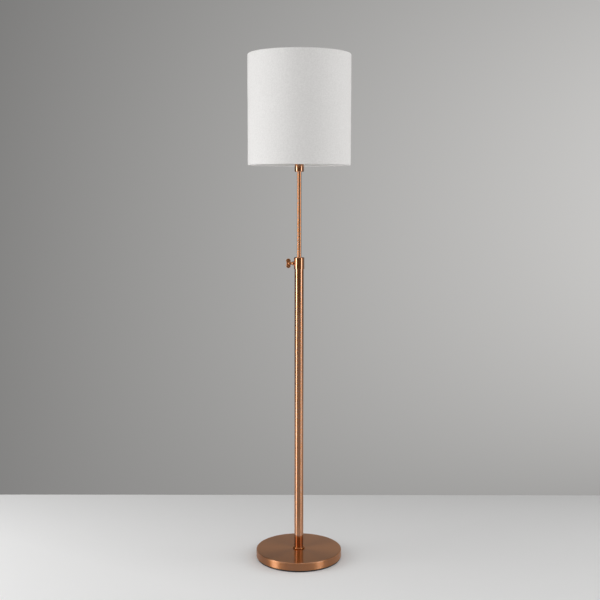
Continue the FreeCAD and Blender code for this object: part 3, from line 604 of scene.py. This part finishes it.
def arc(height, radius, start, end):
    """Points (radius, height) round a fold's centre from one angle to another, in degrees."""
    return [(fold_centre + radius * math.cos(math.radians(a)),
             height + radius * math.sin(math.radians(a)))
            for a in (start + (end - start) * n / fold_steps for n in range(fold_steps + 1))]


def linen_outline(lift):
    """Closed outline of the strip across its width, (radius, height), lifted outward."""
    outer = fold_radius + lift
    inner = outer - linen_thick
    high = rim_top - fold_radius
    low = rim_foot + fold_radius
    wall = [low + (high - low) * n / linen_rows for n in range(1, linen_rows)]
    return (arc(low, outer, -fold_turn, 0)
            + [(fold_centre + outer, z) for z in wall]
            + arc(high, outer, 0, fold_turn)
            + arc(high, inner, fold_turn, 0)
            + [(fold_centre + inner, z) for z in reversed(wall)]
            + arc(low, inner, 0, -fold_turn))


def linen_strip(name, finish):
    """The strip as one closed mesh, its two ends lapped at the back."""
    girth = 2 * math.pi * linen_radius
    lap = lap_width / girth
    rise = lap_rise / girth
    stations = [n / linen_columns * (1 + lap) for n in range(linen_columns + 1)]
    points = []
    for along in stations:
        climb = min(1.0, max(0.0, (along - (1 - rise)) / rise))
        climb = climb * climb * (3 - 2 * climb)
        turn = math.pi / 2 + 2 * math.pi * (along - lap / 2)
        for r, z in linen_outline(lap_lift * climb):
            spot = Vector((math.cos(turn) * 7, math.sin(turn) * 7, z * 30))
            r += linen_wobble * noise.noise(spot)
            points.append((r * math.cos(turn), r * math.sin(turn), z))
    count = len(points) // len(stations)
    faces = [(a * count + p, (a + 1) * count + p, (a + 1) * count + q, a * count + q)
             for a in range(len(stations) - 1)
             for p, q in ((n, (n + 1) % count) for n in range(count))]
    half = count // 2
    for a, flip in ((0, False), (len(stations) - 1, True)):
        for n in range(half - 1):
            quad = (a * count + n, a * count + n + 1,
                    a * count + count - 2 - n, a * count + count - 1 - n)
            faces.append(quad if flip else tuple(reversed(quad)))
    return surface(name, points, faces, finish, 50.0)


def woven_linen():
    """Plain weave of crossing threads, with slubs along both ways and paler flecks."""
    finish, tree, shader = new_finish("woven_linen", linen_colour, rough=0.9)
    spot = place(tree)
    part = add(tree, "SeparateXYZ", {0: spot}).outputs
    girth = calc(tree, "MULTIPLY", calc(tree, "ARCTAN2", part[1], part[0]), linen_radius)

    def thread(run, phase):
        line = calc(tree, "MULTIPLY", run, math.pi / thread_pitch)
        return calc(tree, "SINE", calc(tree, "ADD", line, phase))

    def crossing(phase):
        both = calc(tree, "MULTIPLY", thread(girth, phase), thread(part[2], phase))
        return calc(tree, "MULTIPLY", both, both)

    def slubs(round_scale, up_scale):
        drawn = add(tree, "CombineXYZ", {0: calc(tree, "MULTIPLY", girth, round_scale),
                                         1: calc(tree, "MULTIPLY", part[2], up_scale)})
        return grain(tree, drawn.outputs[0], 1.0, detail=3.0, rough=0.6)

    weave = calc(tree, "ADD", crossing(0.0), crossing(math.pi / 2))
    slub = calc(tree, "MULTIPLY", calc(tree, "ADD", slubs(26.0, 900.0), slubs(900.0, 26.0)), 0.5)
    fleck = fit(tree, grain(tree, spot, 240.0), 0.3, 0.7, 0.0, 1.0)
    cloth = calc(tree, "ADD", calc(tree, "MULTIPLY", weave, weave_share),
                 calc(tree, "ADD", calc(tree, "MULTIPLY", slub, slub_share),
                      calc(tree, "MULTIPLY", fleck, fleck_share)))
    tint(tree, shader, cloth, linen_shadow, linen_colour)
    emboss(tree, shader, cloth, 0.0006, 0.7)
    shader.inputs["Sheen Weight"].default_value = 0.15
    shader.inputs["Sheen Roughness"].default_value = 0.5
    return finish


linen = linen_strip("linen_cover", woven_linen())
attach(linen, "shade")
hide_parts("shade_cover", "shade_top_trim", "shade_bottom_trim")


# ---- Finial ----------------------------------------------------------------------
# A steel knob turned, plated and lacquered like the collar. It screws down on the
# harp's stud and holds the shade.
dress(turned_copper, "finial")


# ---- Studio floor and wall -------------------------------------------------------
# A pale floor and a grey wall, which are not part of the lamp. The wall glows with a painted
# pool of light and is painted lighter to the right, and it is see-through from behind; the floor
# is painted darker towards it and to the right as painted shade, and the lamp's metal sees
# partly through it to the strip lights.
studio_half = 6.0
wall_distance = 0.620
wall_tone = (1.012, 1.0, 0.982, 1.0)
wall_grey = 0.395                       # in line with the lamp
wall_grey_slope = 0.151                 # how much a metre to the right adds
wall_darkest, wall_lightest = 0.2, 0.56
wall_pool_height = 0.95                 # the light on the wall is strongest at this height
wall_pool_reach = 0.9
wall_fade = 0.16                        # share of the light that is lost at that reach
wall_fade_slope = 0.08                  # how much a metre to the right adds
wall_skew = 0.063                       # the pool of light leans up to the right
mirror_low, mirror_low_level = 0.15, 1.3        # height, and the wall's level in the metal
mirror_high, mirror_high_level = 0.5, 0.4
floor_grey = 0.775                      # at the lamp
floor_slope_x = -0.12                   # how much a metre to the right adds
floor_slope_y = -0.19                   # how much a metre to the back adds
floor_darkest, floor_lightest = 0.5, 0.86
floor_near, floor_clear_near = 0.18, 0.28       # distance, and how clear the floor is there
floor_far, floor_clear_far = 0.42, 0.66


def linear(tree, terms, constant):
    """Sum of sockets times factors, plus a constant."""
    total = constant
    for socket, factor in terms:
        total = calc(tree, "MULTIPLY_ADD", socket, factor, total)
    return total


def flat_panel(name, corners, material):
    mesh = bpy.data.meshes.new(name)
    mesh.from_pydata(corners, [], [(0, 1, 2, 3)])
    panel = bpy.data.objects.new(name, mesh)
    mesh.materials.append(material)
    bpy.context.scene.collection.objects.link(panel)
    return panel


def wall_paint():
    """Wall glowing with a painted pool of light, seen by the metal as dark above and pale below.
    """
    material, tree, shader = new_finish("wall_paint", (0.4, 0.4, 0.39))
    tree.nodes.remove(shader)
    part = add(tree, "SeparateXYZ", {0: place(tree)}).outputs
    grey = linear(tree, [(part[0], wall_grey_slope)], wall_grey)
    rise = linear(tree, [(part[2], 1 / wall_pool_reach)], -wall_pool_height / wall_pool_reach)
    fade = linear(tree, [(part[0], wall_fade_slope)], wall_fade)
    loss = calc(tree, "MULTIPLY", calc(tree, "MULTIPLY", rise, rise), fade)
    skew = calc(tree, "MULTIPLY", part[0], rise)
    kept = linear(tree, [(loss, -1.0), (skew, wall_skew)], 1.0)
    level = add(tree, "Clamp", {0: calc(tree, "MULTIPLY", grey, kept),
                                1: wall_darkest, 2: wall_lightest}).outputs[0]
    share = fit(tree, part[2], mirror_low, mirror_high, mirror_low_level, mirror_high_level)
    mirrored = calc(tree, "MULTIPLY", level, share)
    shown = add(tree, "Mix", {0: add(tree, "LightPath").outputs["Is Glossy Ray"],
                              2: level, 3: mirrored}).outputs[0]
    glow = add(tree, "Emission", {"Color": wall_tone, "Strength": shown})
    clear = add(tree, "BsdfTransparent")
    behind = add(tree, "NewGeometry").outputs["Backfacing"]
    mix = add(tree, "MixShader", {0: behind, 1: glow.outputs[0], 2: clear.outputs[0]})
    tree.links.new(mix.outputs[0], tree.nodes["Material Output"].inputs["Surface"])
    return material


def floor_paint():
    """Matt floor painted darker to the back and right as painted shade, and partly clear to the
    metal, more so away from the base.
    """
    material, tree, shader = new_finish("floor_paint", (0.7, 0.7, 0.69), rough=0.8)
    part = add(tree, "SeparateXYZ", {0: place(tree)}).outputs
    grey = linear(tree, [(part[0], floor_slope_x), (part[1], floor_slope_y)], floor_grey)
    held = add(tree, "Clamp", {0: grey, 1: floor_darkest, 2: floor_lightest}).outputs[0]
    colour = add(tree, "CombineColor", {0: held, 1: held, 2: held}).outputs[0]
    tree.links.new(colour, shader.inputs["Base Color"])
    shader.inputs["Specular IOR Level"].default_value = 0.1
    reach = add(tree, "VectorMath", {0: place(tree)}, operation="LENGTH").outputs["Value"]
    share = fit(tree, reach, floor_near, floor_far, floor_clear_near, floor_clear_far)
    clear = calc(tree, "MULTIPLY", add(tree, "LightPath").outputs["Is Glossy Ray"], share)
    mix = add(tree, "MixShader", {0: clear, 1: shader.outputs[0],
                                  2: add(tree, "BsdfTransparent").outputs[0]})
    tree.links.new(mix.outputs[0], tree.nodes["Material Output"].inputs["Surface"])
    return material


flat_panel("studio_floor", [(-studio_half, -studio_half, 0), (studio_half, -studio_half, 0),
                            (studio_half, studio_half, 0), (-studio_half, studio_half, 0)],
           floor_paint())
flat_panel("studio_wall", [(-studio_half, wall_distance, 0), (studio_half, wall_distance, 0),
                           (studio_half, wall_distance, studio_half),
                           (-studio_half, wall_distance, studio_half)], wall_paint())


# ---- Studio lights ---------------------------------------------------------------
# Two tall softboxes, one on either side, which light the cloth and the floor. The
# metal doesn't mirror them: it has its own strip lights in the studio's air.
def softbox(name, turn, distance, height, width, tall, level):
    """Area light aimed at the lamp: turn is degrees right of the front, level its glow."""
    light = bpy.data.lights.new(name, "AREA")
    light.shape = "RECTANGLE"
    light.size = width
    light.size_y = tall
    light.energy = level * math.pi * width * tall
    lamp = bpy.data.objects.new(name, light)
    angle = math.radians(turn)
    lamp.location = (distance * math.sin(angle), -distance * math.cos(angle), height)
    lamp.rotation_euler = (math.pi / 2, 0, angle)
    lamp.visible_camera = False
    lamp.visible_glossy = False
    bpy.context.scene.collection.objects.link(lamp)
    return lamp


softbox("key_left", turn=-80, distance=2.2, height=0.92, width=1.4, tall=2.0, level=3.2)
softbox("fill_right", turn=92, distance=2.2, height=1.15, width=1.2, tall=2.2, level=2.4)


# ---- Studio air ------------------------------------------------------------------
# What is round the lamp: an even light for the cloth, a grey for the camera, and for
# the metal a dark warm room with a pale ceiling and two tall strip lights. A height here
# is the upward part of a direction, from -1 straight down to 1 straight up.
even_light, even_level = (1.0, 0.998, 0.994, 1.0), 0.78
seen_grey, seen_level = (1.0, 1.0, 0.99, 1.0), 0.42
room_colour = (1.0, 0.70, 0.45, 1.0)
room_front, room_front_level = -0.9, 0.12       # the room is darker in front of the lamp
room_back, room_back_level = 0.6, 0.38
strip_lights = ((-68, 6.2), (58, 3.1))          # degrees right of the front, and glow
strip_half = 9.0                        # degrees from a strip's middle to its edge
strip_soft = 5.0                        # degrees either way over which the edge fades
strip_foot = (-0.31, -0.13, 0.62, 1.0)  # heights between which a strip's glow changes,
strip_head = (0.08, 0.35, 1.0, 0.35)    # and its share below and above them
ceiling = (0.55, 0.9, 0.0, 0.7)         # the same for the ceiling's glow


def studio_air():
    world = bpy.data.worlds.new("studio_air")
    bpy.context.scene.world = world
    world.use_nodes = True
    tree = world.node_tree
    tree.nodes.clear()
    path = add(tree, "LightPath").outputs
    toward = add(tree, "SeparateXYZ", {0: add(tree, "TexCoord").outputs["Generated"]}).outputs
    room = fit(tree, toward[1], room_front, room_back, room_front_level, room_back_level)
    turn = calc(tree, "ARCTAN2", toward[0], calc(tree, "MULTIPLY", toward[1], -1.0))
    strips = 0.0
    for aim, level in strip_lights:
        off = calc(tree, "ABSOLUTE", calc(tree, "SUBTRACT", turn, math.radians(aim)))
        glow = fit(tree, off, math.radians(strip_half - strip_soft),
                   math.radians(strip_half + strip_soft), level, 0.0,
                   interpolation_type="SMOOTHSTEP")
        strips = calc(tree, "ADD", glow, strips)
    strips = calc(tree, "MULTIPLY", strips, fit(tree, toward[2], *strip_head))
    over = fit(tree, toward[2], *ceiling, interpolation_type="SMOOTHSTEP")
    white = calc(tree, "MULTIPLY_ADD", strips, fit(tree, toward[2], *strip_foot), over)
    even = add(tree, "Background", {"Color": even_light, "Strength": even_level})
    dark = add(tree, "Background", {"Color": room_colour, "Strength": room})
    light = add(tree, "Background", {"Color": (1.0, 1.0, 1.0, 1.0), "Strength": white})
    metal = add(tree, "AddShader", {0: dark.outputs[0], 1: light.outputs[0]})
    view = add(tree, "Background", {"Color": seen_grey, "Strength": seen_level})
    glossy = add(tree, "MixShader", {0: path["Is Glossy Ray"], 1: even.outputs[0],
                                     2: metal.outputs[0]})
    seen = add(tree, "MixShader", {0: path["Is Camera Ray"], 1: glossy.outputs[0],
                                   2: view.outputs[0]})
    out = add(tree, "OutputWorld")
    tree.links.new(seen.outputs[0], out.inputs[0])


studio_air()
bpy.context.scene.view_settings.view_transform = "Standard"


# ---- Camera ----------------------------------------------------------------------
# Where the photograph was taken from: 3 m in front of the lamp at chest height,
# tilted down a little.
camera_place = (0.0023, -2.953, 1.1255)
camera_down = 6.376                     # degrees
camera_roll = -0.0013                   # radians
camera_lens = 59.56                     # mm, on a 36 mm wide sensor

lens_data = bpy.data.cameras.new("camera")
lens_data.sensor_width = 36.0
lens_data.lens = camera_lens
camera = bpy.data.objects.new("camera", lens_data)
camera.location = camera_place
camera.rotation_euler = (math.radians(90 - camera_down), camera_roll, 0)
bpy.context.scene.collection.objects.link(camera)
bpy.context.scene.camera = camera
